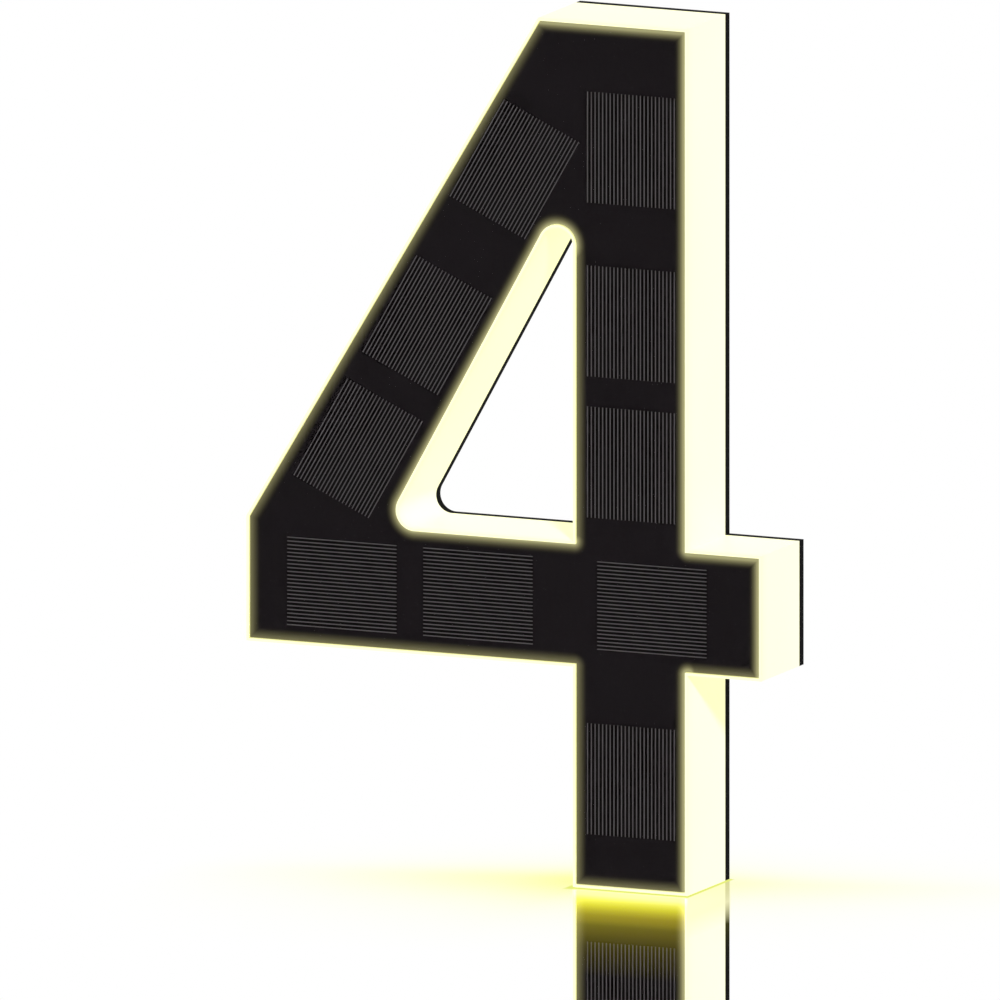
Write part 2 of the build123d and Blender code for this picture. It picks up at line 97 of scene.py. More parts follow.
# Moulded parts: dark and light shade, roughness, size and depth of the mould grain in mm,
# specular level, and the nodes
MOULDINGS = {
    "black_plastic": ((12, 12, 12), (19, 19, 19), 0.6, 0.35, 0.03, 0.01, ["back_cover"]),
    "button_plastic": ((50, 51, 53), (58, 59, 61), 0.45, 0.25, 0.02, 0.4, ["power_button"]),
    "seal_rubber": (
        (40, 40, 41), (50, 50, 51), 0.75, 0.5, 0.03, 0.25, ["outer_seal", "counter_seal", "button_seal"]
    ),
    "holder_plastic": ((30, 30, 32), (38, 38, 40), 0.5, 0.4, 0.03, 0.4, ["battery_holder"]),
    "switch_plastic": ((60, 60, 62), (72, 72, 74), 0.4, 0.2, 0.02, 0.4, ["switch_body", "switch_plunger"]),
    "socket_nylon": ((226, 220, 204), (238, 233, 220), 0.5, 0.3, 0.02, 0.4, ["lead_sockets"]),
    "black_component": ((24, 24, 25), (34, 34, 35), 0.6, 0.1, 0.01, 0.4, ["charge_chip"]),
    "ferrite": ((62, 60, 58), (80, 78, 75), 0.7, 0.2, 0.03, 0.4, ["inductor"]),
}

# Metal parts: dark and light shade, roughness, fineness of the marks along each axis, and the nodes
METALS = {
    "capacitor_can": ((168, 170, 174), (196, 198, 202), 0.3, (900, 900, 900), ["capacitor"]),
    "nickel": (
        (176, 170, 158), (206, 200, 188), 0.28, (300, 2500, 2500), ["plate_contact", "spring_contact"]
    ),
    "screw_steel": ((150, 150, 152), (190, 190, 192), 0.32, (1500, 300, 1500), ["control_screws"]),
}

# Printed fingers of the solar cells
FINGER_COUNT = 24
FINGER_SHARE = 0.3  # of the pitch
FINGER_INSET = 0.08 * MM  # edge of the cell to its outer fingers
FINGER_THICKNESS = 0.02 * MM

# Clear film
FILM_LIFT = 0.03 * MM
WELD_DISTANCE = 0.001 * MM
FACE_TOLERANCE = 0.05 * MM  # a vertex this near a level lies on it, here and on the screws

# Cover screw, its lengths taken from the head's face
SCREW_SIDES = 32
HEAD_RADIUS = 2.3 * MM
HEAD_DEPTH = 1.2 * MM
SHANK_RADIUS = 1.1 * MM
SHANK_LENGTH = 8.6 * MM
POINT_RADIUS = 0.4 * MM
POINT_LENGTH = 9.2 * MM
RECESS_MOUTH = (1.25 * MM, 0.32 * MM)  # reach and half width of its four arms
RECESS_BOTTOM = (0.7 * MM, 0.2 * MM)
RECESS_DEPTH = 0.9 * MM
# painted shade in the screws' cross recess, from this depth on down
RECESS_SHADE_DEPTH = 0.5 * MM  # dark from here on down
SCREW_APART = 6 * MM  # wider than a head, and less than the distance between two screws

# Photograph's parallel view
VIEW_AZIMUTH = radians(23.91)
VIEW_ELEVATION = radians(10.396)
VIEW_WIDTH = 227.074 * MM
VIEW_MIDDLE = (-39.14 * MM, -86.14 * MM)  # across and up from the frame's origin
VIEW_DISTANCE = 0.6

# Studio
DOME_LIGHT = 0.48
KEY_WAY = (0.72, -1.0, 0.778)  # from the numeral to the key light
KEY_STRENGTH = 3.35
KEY_SPREAD = radians(6)
BACK_LAMP_SIZE = 0.8
BACK_LAMPS = {  # place and power
    "back_lamp_left": ((-0.8, 1.1, -0.1), 8.0),
    "back_lamp_right": ((0.8, 1.1, -0.1), 3.2),
}
FLOOR_SIZE = 6.0

# Painted pool of light on the floor
POOL_COLOUR = (1, 1, 0.04, 1)
POOL_REACH = 95.0 * MM
POOL_SHARES = [
    (0, 0.66), (0.085, 0.56), (0.17, 0.45), (0.42, 0.26), (0.63, 0.13), (0.84, 0.05), (1, 0)
]
POOL_RIGHT_SHARE = 0.58
POOL_MIDDLE = -10.0 * MM
POOL_SLANT = 0.26  # the pool's middle line runs a little forwards on the left
POOL_BEHIND = 14.0 * MM  # half strength behind its middle line, and before it
POOL_BEFORE = 25.0 * MM
POOL_TAIL = 0.06  # of the strength, cut off

# Painted light over the reflection of the face
FACE_SHEEN_REACH = 110.0 * MM
FACE_SHEEN_SHARES = [
    (0, 0.95), (0.073, 0.92), (0.132, 0.78), (0.19, 0.59), (0.245, 0.4), (0.3, 0.27),
    (0.364, 0.2), (0.42, 0.12), (0.53, 0.08), (0.65, 0.04), (0.87, 0.015), (1, 0),
]
FACE_SHEEN_TINTS = [
    (0, (1, 1, 0.46, 1)),
    (0.073, (1, 1, 0.4, 1)),
    (0.132, (1, 0.96, 0.12, 1)),
    (0.19, (1, 0.92, 0.05, 1)),
    (0.3, (1, 0.8, 0.04, 1)),
]
FACE_SHEEN_SOFT = 0.3 * MM

# Painted light over the reflection of the right side
SIDE_SHEEN_COLOUR = (1, 0.98, 0.6, 1)
SIDE_SHEEN_REACH = 55.0 * MM
SIDE_SHEEN_SHARES = [(0, 0.5), (0.25, 0.6), (0.5, 0.8), (0.75, 0.4), (1, 0)]
SIDE_SHEEN_SOFT = 1.0 * MM

# Painted shade, tinted yellow-green, in a line where the foot meets the floor
CONTACT_SHADE_COLOUR = (0.8, 0.86, 0.2, 1)
CONTACT_SIDE = 1.1 * MM
CONTACT_FRONT = 2.6 * MM
CONTACT_SOFT = 0.3  # of its width, on both sides of its edge


# ---------------------------------------------------------------- node trees


def feed(tree, socket, value):
    """Link a socket to an output, or set its own value."""
    if isinstance(value, bpy.types.NodeSocket):
        tree.links.new(value, socket)
    else:
        socket.default_value = value


def add(tree, kind, inputs=None, **settings):
    """A new node with its settings, and its inputs by name or number."""
    node = tree.nodes.new(kind)
    for name, value in settings.items():
        setattr(node, name, value)
    for key, value in (inputs or {}).items():
        feed(tree, node.inputs[key], value)
    return node


def calc(tree, operation, *values):
    """Result of one Math node."""
    return add(tree, "ShaderNodeMath", dict(enumerate(values)), operation=operation).outputs[0]


def vector(tree, operation, *values):
    """Result of one Vector Math node."""
    node = add(tree, "ShaderNodeVectorMath", dict(enumerate(values)), operation=operation)
    return node.outputs["Value" if operation in ("DOT_PRODUCT", "DISTANCE") else "Vector"]


def scaled(tree, value, factor):
    """Vector or colour times a number."""
    inputs = {0: value, "Scale": factor}
    return add(tree, "ShaderNodeVectorMath", inputs, operation="SCALE").outputs[0]


def blend(tree, share, first, second):
    """Colour between two colours."""
    node = add(tree, "ShaderNodeMix", data_type="RGBA")
    sockets = (node.inputs[0], node.inputs[6], node.inputs[7])
    for socket, value in zip(sockets, (share, first, second)):
        feed(tree, socket, value)
    return node.outputs[2]


def ramp(tree, share, stops):
    """Colour ramp through (place, colour) stops."""
    node = add(tree, "ShaderNodeValToRGB", {0: share})
    elements = node.color_ramp.elements
    while len(elements) < len(stops):
        elements.new(0.5)
    for element, (place, colour) in zip(elements, stops):
        element.position = place
        element.color = colour
    return node.outputs[0]


def curve(tree, share, stops):
    """Value along a line through (place, value) stops."""
    return ramp(tree, share, [(place, (value, value, value, 1)) for place, value in stops])


def spread(tree, value, low, high, first=0.0, last=1.0):
    """Value carried from one range to another, kept inside it."""
    node = add(tree, "ShaderNodeMapRange", {0: value, 1: low, 2: high, 3: first, 4: last})
    return node.outputs[0]


def noise(tree, place, size, detail=2.0):
    """Soft noise whose blobs are about one size across."""
    inputs = {"Vector": place, "Scale": 1 / size, "Detail": detail}
    return add(tree, "ShaderNodeTexNoise", inputs).outputs[0]


def here(tree):
    """Object coordinates."""
    return add(tree, "ShaderNodeTexCoord").outputs["Object"]


def axes(tree, place):
    """The three parts of a place."""
    return add(tree, "ShaderNodeSeparateXYZ", {0: place}).outputs


def bump(tree, height, depth, strength):
    """Normal raised by a height of 0 to 1."""
    node = add(tree, "ShaderNodeBump", {"Height": height, "Distance": depth, "Strength": strength})
    return node.outputs[0]


def rgb(red, green, blue):
    """Linear colour from the 0 to 255 values that a screen shows."""
    parts = [value / 255 for value in (red, green, blue)]
    return (*[((p + 0.055) / 1.055) ** 2.4 if p > 0.04045 else p / 12.92 for p in parts], 1.0)


def group(name, inputs, outputs, kind="ShaderNodeTree"):
    """Empty node group with named sockets, and its two end nodes."""
    tree = bpy.data.node_groups.new(name, kind)
    for label, (socket, value) in inputs.items():
        made = tree.interface.new_socket(name=label, in_out="INPUT", socket_type=socket)
        if value is not None:
            made.default_value = value
    for label, socket in outputs.items():
        tree.interface.new_socket(name=label, in_out="OUTPUT", socket_type=socket)
    return tree, tree.nodes.new("NodeGroupInput").outputs, tree.nodes.new("NodeGroupOutput").inputs


def use(tree, shared, **inputs):
    """One use of a shared group; an input's name has _ for its spaces."""
    node = add(tree, "ShaderNodeGroup", node_tree=shared)
    for name, value in inputs.items():
        feed(tree, node.inputs[name.replace("_", " ")], value)
    return node.outputs


def surface(name, values):
    """New material, its tree, and its Principled BSDF's inputs with plain values set by name."""
    material = bpy.data.materials.new(name)
    material.use_nodes = True
    shader = material.node_tree.nodes["Principled BSDF"]
    for key, value in values.items():
        shader.inputs[key].default_value = value
    return material, material.node_tree, shader.inputs


# ------------------------------------------------------------- shared effects


def moulded_grain_group():
    """Spark-eroded mould texture with slight flow marks."""
    tree, given, result = group(
        "moulded_grain",
        {"Grain Size": ("NodeSocketFloat", 0.3 * MM), "Flow Size": ("NodeSocketFloat", 20 * MM)},
        {"Height": "NodeSocketFloat", "Shade": "NodeSocketFloat"},
    )
    place = here(tree)
    grain = add(tree, "ShaderNodeTexNoise", {"Vector": place, "Detail": 3.0})
    feed(tree, grain.inputs["Scale"], calc(tree, "DIVIDE", 1.0, given["Grain Size"]))
    flow = add(tree, "ShaderNodeTexNoise", {"Vector": place, "Detail": 1.0})
    feed(tree, flow.inputs["Scale"], calc(tree, "DIVIDE", 1.0, given["Flow Size"]))
    feed(tree, result["Height"], grain.outputs[0])
    mixed = calc(tree, "ADD", calc(tree, "MULTIPLY", grain.outputs[0], 0.35), flow.outputs[0])
    feed(tree, result["Shade"], spread(tree, mixed, 0.4, 0.95))
    return tree


def edge_distance(tree, point, start, end):
    """Distance of a point from a straight edge of the numeral."""
    start, end = Vector((start[0], 0, start[1])), Vector((end[0], 0, end[1]))
    length = (end - start).length
    way = (end - start) / length
    offset = vector(tree, "SUBTRACT", point, start)
    share = vector(tree, "DOT_PRODUCT", offset, way)
    along = add(tree, "ShaderNodeClamp", {0: share, 1: 0.0, 2: length}).outputs[0]
    return vector(tree, "DISTANCE", offset, scaled(tree, way, along))


def round_distance(tree, point, centre):
    """Distance of a point from a rounded corner of the counter."""
    away = vector(tree, "DISTANCE", point, (centre[0], 0, centre[1]))
    return calc(tree, "SUBTRACT", away, COUNTER_RADIUS)


def edge_light(tree, distances, strength, reach, falloff):
    """Light that starts at the nearest edge's rim and dies out over a reach."""
    least = distances[0]
    for distance in distances[1:]:
        least = calc(tree, "MINIMUM", least, distance)
    share = spread(tree, least, RIM_WIDTH, RIM_WIDTH + reach, 1.0, 0.0)
    return calc(tree, "MULTIPLY", calc(tree, "POWER", share, falloff), strength)


def rounded_corner(corner, before, after):
    """Centre of a rounded corner of the counter, and where its curve starts and ends."""
    corner, before, after = Vector(corner), Vector(before), Vector(after)
    to_before = (before - corner).normalized()
    to_after = (after - corner).normalized()
    half = to_before.angle(to_after) / 2
    middle = (to_before + to_after).normalized()
    tangent = COUNTER_RADIUS * cos(half) / sin(half)
    centre = corner + middle * COUNTER_RADIUS / sin(half)
    return centre, corner + to_before * tangent, corner + to_after * tangent


def glow_edges():
    """Outer edges whose wall faces right or up, the counter's edges, the shaded edges, and the
    centres of the counter's round corners."""
    crotch = (HALF_STEM, BAR_HIGH)
    apex, left, right = (-HALF_STEM, COUNTER_APEX), (COUNTER_LEFT, BAR_HIGH), (-HALF_STEM, BAR_HIGH)
    left_centre, left_floor, left_slope = rounded_corner(left, right, apex)
    apex_centre, apex_slope, apex_side = rounded_corner(apex, left, right)
    outer = [
        ((HALF_STEM, FOOT), (HALF_STEM, BAR_LOW)),
        ((REACH_RIGHT, BAR_LOW), (REACH_RIGHT, BAR_HIGH)),
        ((REACH_RIGHT, BAR_HIGH), crotch),
        (crotch, (HALF_STEM, TOP)),
        ((HALF_STEM, TOP), (TOP_LEFT, TOP)),
    ]
    counter = [(left_floor, right), (left_slope, apex_slope)]
    shaded = [
        ((TOP_LEFT, TOP), (REACH_LEFT, BAR_HIGH)),
        ((REACH_LEFT, BAR_HIGH), (REACH_LEFT, BAR_LOW)),
        ((REACH_LEFT, BAR_LOW), (-HALF_STEM, BAR_LOW)),
        ((-HALF_STEM, BAR_LOW), (-HALF_STEM, FOOT)),
        ((-HALF_STEM, FOOT), (HALF_STEM, FOOT)),
        ((HALF_STEM, BAR_LOW), (REACH_RIGHT, BAR_LOW)),
        (right, apex_side),
    ]
    return outer, counter, shaded, (left_centre, apex_centre)


def rim_glow_group():
    """Painted glow of the opal rim that spreads into the edge of the laminated face."""
    tree, given, result = group(
        "rim_glow", {"Strength": ("NodeSocketFloat", 1.0)}, {"Colour": "NodeSocketColor"}
    )
    x, _, z = axes(tree, here(tree))
    point = add(tree, "ShaderNodeCombineXYZ", {0: x, 2: z}).outputs[0]
    *sorts, centres = glow_edges()
    outer, counter, shaded = [[edge_distance(tree, point, *edge) for edge in sort] for sort in sorts]
    counter += [round_distance(tree, point, centre) for centre in centres]
    light = calc(tree, "MINIMUM", edge_light(tree, outer, *OUTER_GLOW), OUTER_GLOW_MOST)
    light = calc(tree, "MAXIMUM", light, edge_light(tree, counter, *COUNTER_GLOW))
    light = calc(tree, "MAXIMUM", light, edge_light(tree, shaded, *SHADED_GLOW))
    light = calc(tree, "MULTIPLY", light, given["Strength"])
    tint = blend(tree, light, GLOW_WEAK_TINT, GLOW_STRONG_TINT)
    feed(tree, result["Colour"], scaled(tree, tint, light))
    return tree


GRAIN = moulded_grain_group()
RIM_GLOW = rim_glow_group()


# ------------------------------------------------------------------ materials


def opal():
    """Opal acrylic whose light from the LEDs inside is painted on as its own glow, warmer along the edge
    of the face.
    """
    material, tree, shader = surface("opal", {"Specular IOR Level": 0.06, "Emission Strength": 1.0})
    _, y, _ = axes(tree, here(tree))
    grain = use(tree, GRAIN, Grain_Size=0.4 * MM, Flow_Size=30 * MM)
    glow = ramp(tree, spread(tree, y, -FACE_LEVEL, -COVER_LEVEL), OPAL_GLOW)
    uneven = spread(tree, grain["Shade"], 0.0, 1.0, 0.98, 1.02)
    feed(tree, shader["Emission Color"], scaled(tree, glow, uneven))
    base = blend(tree, grain["Shade"], (0.49, 0.49, 0.48, 1), (0.51, 0.51, 0.5, 1))
    feed(tree, shader["Base Color"], base)
    feed(tree, shader["Roughness"], spread(tree, grain["Shade"], 0, 1, 0.34, 0.42))
    feed(tree, shader["Normal"], bump(tree, grain["Height"], 0.01 * MM, 0.4))
    return material


def laminate():
    """Black board behind the clear film, with the rim's light painted along its edge."""
    values = {"Roughness": 0.6, "Specular IOR Level": 0.0, "Emission Strength": 1.0}
    material, tree, shader = surface("black_board", values)
    weave = noise(tree, here(tree), 0.5 * MM)
    feed(tree, shader["Base Color"], blend(tree, weave, rgb(27, 24, 26), rgb(30, 27, 29)))
    feed(tree, shader["Emission Color"], use(tree, RIM_GLOW, Strength=1.0)[0])
    feed(tree, shader["Normal"], bump(tree, weave, 0.01 * MM, 0.3))
    return material


def silicon():
    """Near-black cell with a faint crystal pattern."""
    values = {"Specular IOR Level": 0.0, "Emission Strength": 1.0}
    material, tree, shader = surface("solar_cell", values)
    crystals = add(tree, "ShaderNodeTexVoronoi", {"Vector": here(tree), "Scale": 1 / (3 * MM)})
    tone = spread(tree, crystals.outputs["Distance"], 0.0, 1.0)
    feed(tree, shader["Base Color"], blend(tree, tone, rgb(19, 16, 17), rgb(23, 20, 21)))
    # painted glow of the opal rim along the cell's edge
    feed(tree, shader["Emission Color"], use(tree, RIM_GLOW, Strength=0.8)[0])
    feed(tree, shader["Roughness"], spread(tree, tone, 0, 1, 0.35, 0.45))
    return material


def finger_paste():
    """Grey silver paste of the cells' printed fingers."""
    material, tree, shader = surface("finger_paste", {"Specular IOR Level": 0.1})
    streaks = noise(tree, here(tree), 1.2 * MM)
    feed(tree, shader["Base Color"], blend(tree, streaks, rgb(76, 73, 75), rgb(85, 82, 84)))
    feed(tree, shader["Roughness"], spread(tree, streaks, 0, 1, 0.45, 0.6))
    return material


def clear_film():
    """Clear film over the face; its low index keeps the white studio's reflection off the black."""
    values = {"Transmission Weight": 1.0, "IOR": 1.005}
    material, tree, shader = surface("clear_film", values)
    smear = noise(tree, here(tree), 14 * MM)
    feed(tree, shader["Roughness"], spread(tree, smear, 0.3, 0.7, 0.03, 0.07))
    feed(tree, shader["Base Color"], blend(tree, smear, (0.99, 0.99, 0.985, 1), (1, 1, 1, 1)))
    return material


def moulding(name, dark, light, roughness, grain_size, grain_depth, specular):
    """Moulded part: two near shades, mould grain in mm and uneven gloss."""
    material, tree, shader = surface(name, {"Specular IOR Level": specular})
    grain = use(tree, GRAIN, Grain_Size=grain_size * MM, Flow_Size=25 * MM)
    gloss = spread(tree, grain["Shade"], 0, 1, roughness - 0.06, roughness + 0.06)
    feed(tree, shader["Base Color"], blend(tree, grain["Shade"], rgb(*dark), rgb(*light)))
    feed(tree, shader["Roughness"], gloss)
    feed(tree, shader["Normal"], bump(tree, grain["Height"], grain_depth * MM, 0.5))
    return material


def metal(name, dark, light, roughness, fineness):
    """Drawn or turned metal with fine marks."""
    material, tree, shader = surface(name, {"Metallic": 1.0})
    marks = noise(tree, vector(tree, "MULTIPLY", here(tree), fineness), 1.0, 4.0)
    gloss = spread(tree, marks, 0.3, 0.7, roughness - 0.06, roughness + 0.08)
    feed(tree, shader["Base Color"], blend(tree, marks, rgb(*dark), rgb(*light)))
    feed(tree, shader["Roughness"], gloss)
    feed(tree, shader["Normal"], bump(tree, marks, 0.01 * MM, 0.3))
    return material


def circuit_board(name, mask, copper):
    """Solder mask over copper tracks."""
    material, tree, shader = surface(name, {"Specular IOR Level": 0.5})
    place = here(tree)
    x, _, z = axes(tree, place)
    flat = add(tree, "ShaderNodeCombineXYZ", {0: x, 1: z}).outputs[0]
    pattern = {"Vector": flat, "Scale": 1 / (2.4 * MM), "Mortar Size": 0.06}
    tracks = add(tree, "ShaderNodeTexBrick", pattern).outputs["Fac"]
    speck = noise(tree, place, 0.4 * MM)
    pale = calc(tree, "MULTIPLY", speck, 0.15)
    shade = blend(tree, tracks, mask, copper)
    feed(tree, shader["Base Color"], blend(tree, pale, shade, (1, 1, 1, 1)))
    feed(tree, shader["Roughness"], spread(tree, speck, 0, 1, 0.3, 0.45))
    feed(tree, shader["Normal"], bump(tree, tracks, 0.03 * MM, 0.5))
    return material


def cell_sleeve():
    """Shrink sleeve of the rechargeable cell, bare metal at both ends."""
    material, tree, shader = surface("cell_sleeve", {"Specular IOR Level": 0.5})
    place = here(tree)
    x, _, _ = axes(tree, place)
    low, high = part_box("battery_cell")
    middle = (low.x + high.x) / 2
    from_middle = calc(tree, "ABSOLUTE", calc(tree, "SUBTRACT", x, middle))
    bare = calc(tree, "GREATER_THAN", from_middle, (high.x - low.x) / 2 - 0.2 * MM)
    crease = noise(tree, vector(tree, "MULTIPLY", place, (0.2, 1, 1)), 2 * MM)
    sleeve = blend(tree, crease, rgb(22, 92, 70), rgb(30, 110, 84))
    feed(tree, shader["Base Color"], blend(tree, bare, sleeve, rgb(200, 198, 192)))
    feed(tree, shader["Metallic"], bare)
    feed(tree, shader["Roughness"], spread(tree, crease, 0, 1, 0.2, 0.35))
    feed(tree, shader["Normal"], bump(tree, crease, 0.05 * MM, 0.3))
    return material


def light_chip():
    """Pale package with its warm phosphor."""
    material, tree, shader = surface("light_chip", {"Roughness": 0.4, "Emission Strength": 0.6})
    speck = noise(tree, here(tree), 0.15 * MM)
    colour = blend(tree, speck, rgb(246, 226, 150), rgb(252, 240, 190))
    feed(tree, shader["Base Color"], colour)
    feed(tree, shader["Emission Color"], colour)
    feed(tree, shader["Normal"], bump(tree, speck, 0.02 * MM, 0.3))
    return material


def flat_lead(name, colour, darker):
    """Flat lead with lengthwise ribs."""
    material, tree, shader = surface(name, {"Specular IOR Level": 0.4})
    pattern = {"Vector": here(tree), "Scale": 1 / (6 * MM), "Distortion": 0.4}
    ribs = add(tree, "ShaderNodeTexWave", pattern).outputs[1]
    feed(tree, shader["Base Color"], blend(tree, ribs, darker, colour))
    feed(tree, shader["Roughness"], spread(tree, ribs, 0, 1, 0.4, 0.55))
    feed(tree, shader["Normal"], bump(tree, ribs, 0.05 * MM, 0.4))
    return material


def dress(material, *names):
    """Give CAD nodes their finish."""
    for name in names:
        for slot in cad[name].material_slots:
            slot.material = material


def dress_solids():
    """Finish of every CAD node that keeps its own solid."""
    dress(opal(), "diffuser_shell")
    dress(laminate(), "solar_board")
    dress(silicon(), *CELLS)
    for name, (*look, nodes) in MOULDINGS.items():
        dress(moulding(name, *look), *nodes)
    for name, (*look, nodes) in METALS.items():
        dress(metal(name, *look), *nodes)
    dress(circuit_board("green_board", rgb(12, 78, 46), rgb(38, 118, 70)), "control_board")
    strips = [name for name in cad if name.startswith("led_board_")]
    dress(circuit_board("white_board", rgb(232, 232, 226), rgb(214, 212, 200)), *strips)
    dress(light_chip(), "led_packages")
    dress(cell_sleeve(), "battery_cell")
    dress(flat_lead("lead_red", rgb(176, 34, 28), rgb(150, 26, 22)), "battery_lead")
    white_lead = flat_lead("lead_white", rgb(232, 232, 228), rgb(210, 210, 204))
    dress(white_lead, "panel_lead", "light_lead", "light_links")


# --------------------------------------------------------------- new pieces


def piece(name, mesh):
    """A finished piece on the housing."""
    made = bpy.data.objects.new(name, mesh)
    bpy.context.scene.collection.objects.link(made)
    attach(made, "housing")
    return made


def grown(name, tree, inputs, base=None):
    """Plain mesh that a Geometry Nodes tree makes."""
    maker = bpy.data.objects.new(name, base or bpy.data.meshes.new(name))
    bpy.context.scene.collection.objects.link(maker)
    modifier = maker.modifiers.new(name, "NODES")
    modifier.node_group = tree
    for item in tree.interface.items_tree:
        if item.in_out == "INPUT" and item.name in inputs:
            modifier[item.identifier] = inputs[item.name]
    evaluated = maker.evaluated_get(bpy.context.evaluated_depsgraph_get())
    mesh = bpy.data.meshes.new_from_object(evaluated)
    bpy.data.objects.remove(maker)
    mesh.name = name
    return mesh


def painted(tree, places, instance, rotation, material):
    """Geometry set out on points, made real and given its material."""
    inputs = {"Points": places, "Instance": instance, "Rotation": rotation}
    placed = add(tree, "GeometryNodeInstanceOnPoints", inputs)
    real = add(tree, "GeometryNodeRealizeInstances", {0: placed.outputs[0]})
    inputs = {"Geometry": real.outputs[0], "Material": material}
    return add(tree, "GeometryNodeSetMaterial", inputs).outputs[0]


def finger_tree():
    """Row of printed fingers across one solar cell."""
    inputs = {
        "Geometry": ("NodeSocketGeometry", None),
        "Count": ("NodeSocketInt", FINGER_COUNT),
        "First": ("NodeSocketVector", None),
        "Step": ("NodeSocketVector", None),
        "Size": ("NodeSocketVector", None),
        "Turn": ("NodeSocketFloat", 0.0),
        "Material": ("NodeSocketMaterial", None),
    }
    tree, given, result = group(
        "finger_lines", inputs, {"Geometry": "NodeSocketGeometry"}, "GeometryNodeTree"
    )
    places = {"Count": given["Count"], "Start Location": given["First"], "Offset": given["Step"]}
    row = add(tree, "GeometryNodeMeshLine", places, mode="OFFSET").outputs[0]
    finger = add(tree, "GeometryNodeMeshCube", {"Size": given["Size"]}).outputs[0]
    turned = {"Axis": (0, 1, 0), "Angle": given["Turn"]}
    turn = add(tree, "FunctionNodeAxisAngleToRotation", turned).outputs[0]
    feed(tree, result[0], painted(tree, row, finger, turn, given["Material"]))
    return tree


def cell_sides(name):
    """Middle of a cell's front, with its side along the fingers and its side across them."""
    corners = {(round(v.co.x, 6), round(v.co.z, 6)) for v in cad[name].data.vertices}
    middle = sum((Vector((x, 0, z)) for x, z in corners), Vector()) / len(corners)
    low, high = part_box(name)
    width, height = Vector((high.x - low.x, 0, 0)), Vector((0, 0, high.z - low.z))
    if name.startswith("stem"):
        return middle, height, width
    if name.startswith("bar"):
        return middle, width, -height
    right = Vector(max(corners))
    upper = Vector(max(corners, key=lambda corner: corner[1]))
    lower = Vector(min(corners, key=lambda corner: corner[1]))
    along, across = right - lower, right - upper
    return middle, Vector((along.x, 0, along.y)), Vector((across.x, 0, across.y))


def cell_fingers():
    """Printed fingers of every solar cell."""
    tree = finger_tree()
    paste = finger_paste()
    for name in CELLS:
        middle, along, across = cell_sides(name)
        room = across * (1 - 2 * FINGER_INSET / across.length)
        step = room / (FINGER_COUNT - 1 + FINGER_SHARE)
        first = middle - step * (FINGER_COUNT - 1) / 2
        first.y = -FILM_LEVEL - FINGER_THICKNESS / 2
        inputs = {
            "First": first,
            "Step": step,
            "Size": (along.length, FINGER_THICKNESS, step.length * FINGER_SHARE),
            "Turn": -atan2(along.z, along.x),
            "Material": paste,
        }
        piece(f"{name}_fingers", grown(f"{name}_fingers", tree, inputs))


def film_sheet():
    """The clear film, its back lifted off the board to leave room for the fingers."""
    mesh = cad["front_film"].data.copy()
    mesh.name = "film_sheet"
    loose = bmesh.new()
    loose.from_mesh(mesh)
    bmesh.ops.remove_doubles(loose, verts=loose.verts, dist=WELD_DISTANCE)
    for vertex in loose.verts:
        if vertex.co.y > -FILM_LEVEL - FACE_TOLERANCE:
            vertex.co.y -= FILM_LIFT
    loose.to_mesh(mesh)
    loose.free()
    mesh.materials.clear()
    mesh.materials.append(clear_film())
    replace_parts(piece("film_sheet", mesh), "front_film")


def ring(loose, radius, y):
    """Ring of vertices round the Y axis."""
    angles = [tau * index / SCREW_SIDES for index in range(SCREW_SIDES)]
    return [loose.verts.new((radius * cos(a), y, radius * sin(a))) for a in angles]


def cross_outline(loose, reach, half_width, y):
    """Twelve corners of a cross recess."""
    corners = []
    for index in range(4):
        turn = Matrix.Rotation(tau * index / 4, 2)
        for x, z in ((half_width, half_width), (half_width, reach), (-half_width, reach)):
            place = turn @ Vector((x, z))
            corners.append(loose.verts.new((place.x, y, place.y)))
    return corners


def wall(loose, first, second):
    """Faces between two rings of the same count."""
    for index, vertex in enumerate(first):
        after = (index + 1) % len(first)
        loose.faces.new((vertex, first[after], second[after], second[index]))


def screw_mesh():
    """One countersunk screw with a cross recess, its head's face at Y = 0."""
    loose = bmesh.new()
    rim = ring(loose, HEAD_RADIUS, 0)
    neck = ring(loose, SHANK_RADIUS, -HEAD_DEPTH)
    end = ring(loose, SHANK_RADIUS, -SHANK_LENGTH)
    point = ring(loose, POINT_RADIUS, -POINT_LENGTH)
    mouth = cross_outline(loose, *RECESS_MOUTH, 0)
    bottom = cross_outline(loose, *RECESS_BOTTOM, -RECESS_DEPTH)
    for first, second in ((rim, neck), (neck, end), (end, point), (mouth, bottom)):
        wall(loose, first, second)
    loose.faces.new(point)
    loose.faces.new(bottom)
    edges = []
    for loop in (rim, mouth):
        for index, vertex in enumerate(loop):
            after = loop[(index + 1) % len(loop)]
            edges.append(loose.edges.get((vertex, after)) or loose.edges.new((vertex, after)))
    bmesh.ops.triangle_fill(loose, edges=edges, use_beauty=True, use_dissolve=False)
    bmesh.ops.recalc_face_normals(loose, faces=loose.faces)
    mesh = bpy.data.meshes.new("cover_screw")
    loose.to_mesh(mesh)
    loose.free()
    return mesh


def screw_tree():
    """Screws set out on points, each turned its own way."""
    inputs = {
        "Geometry": ("NodeSocketGeometry", None),
        "Screw": ("NodeSocketObject", None),
        "Seed": ("NodeSocketInt", 4),
        "Material": ("NodeSocketMaterial", None),
    }
    tree, given, result = group(
        "set_out_screws", inputs, {"Geometry": "NodeSocketGeometry"}, "GeometryNodeTree"
    )
    screw = add(tree, "GeometryNodeObjectInfo", {"Object": given["Screw"]}).outputs["Geometry"]
    turn = add(tree, "FunctionNodeRandomValue", {"Seed": given["Seed"]}, data_type="FLOAT")
    feed(tree, turn.inputs[2], 0.0)
    feed(tree, turn.inputs[3], tau)
    turned = {"Axis": (0, 1, 0), "Angle": turn.outputs[1]}
    spin = add(tree, "FunctionNodeAxisAngleToRotation", turned).outputs[0]
    feed(tree, result[0], painted(tree, given["Geometry"], screw, spin, given["Material"]))
    return tree


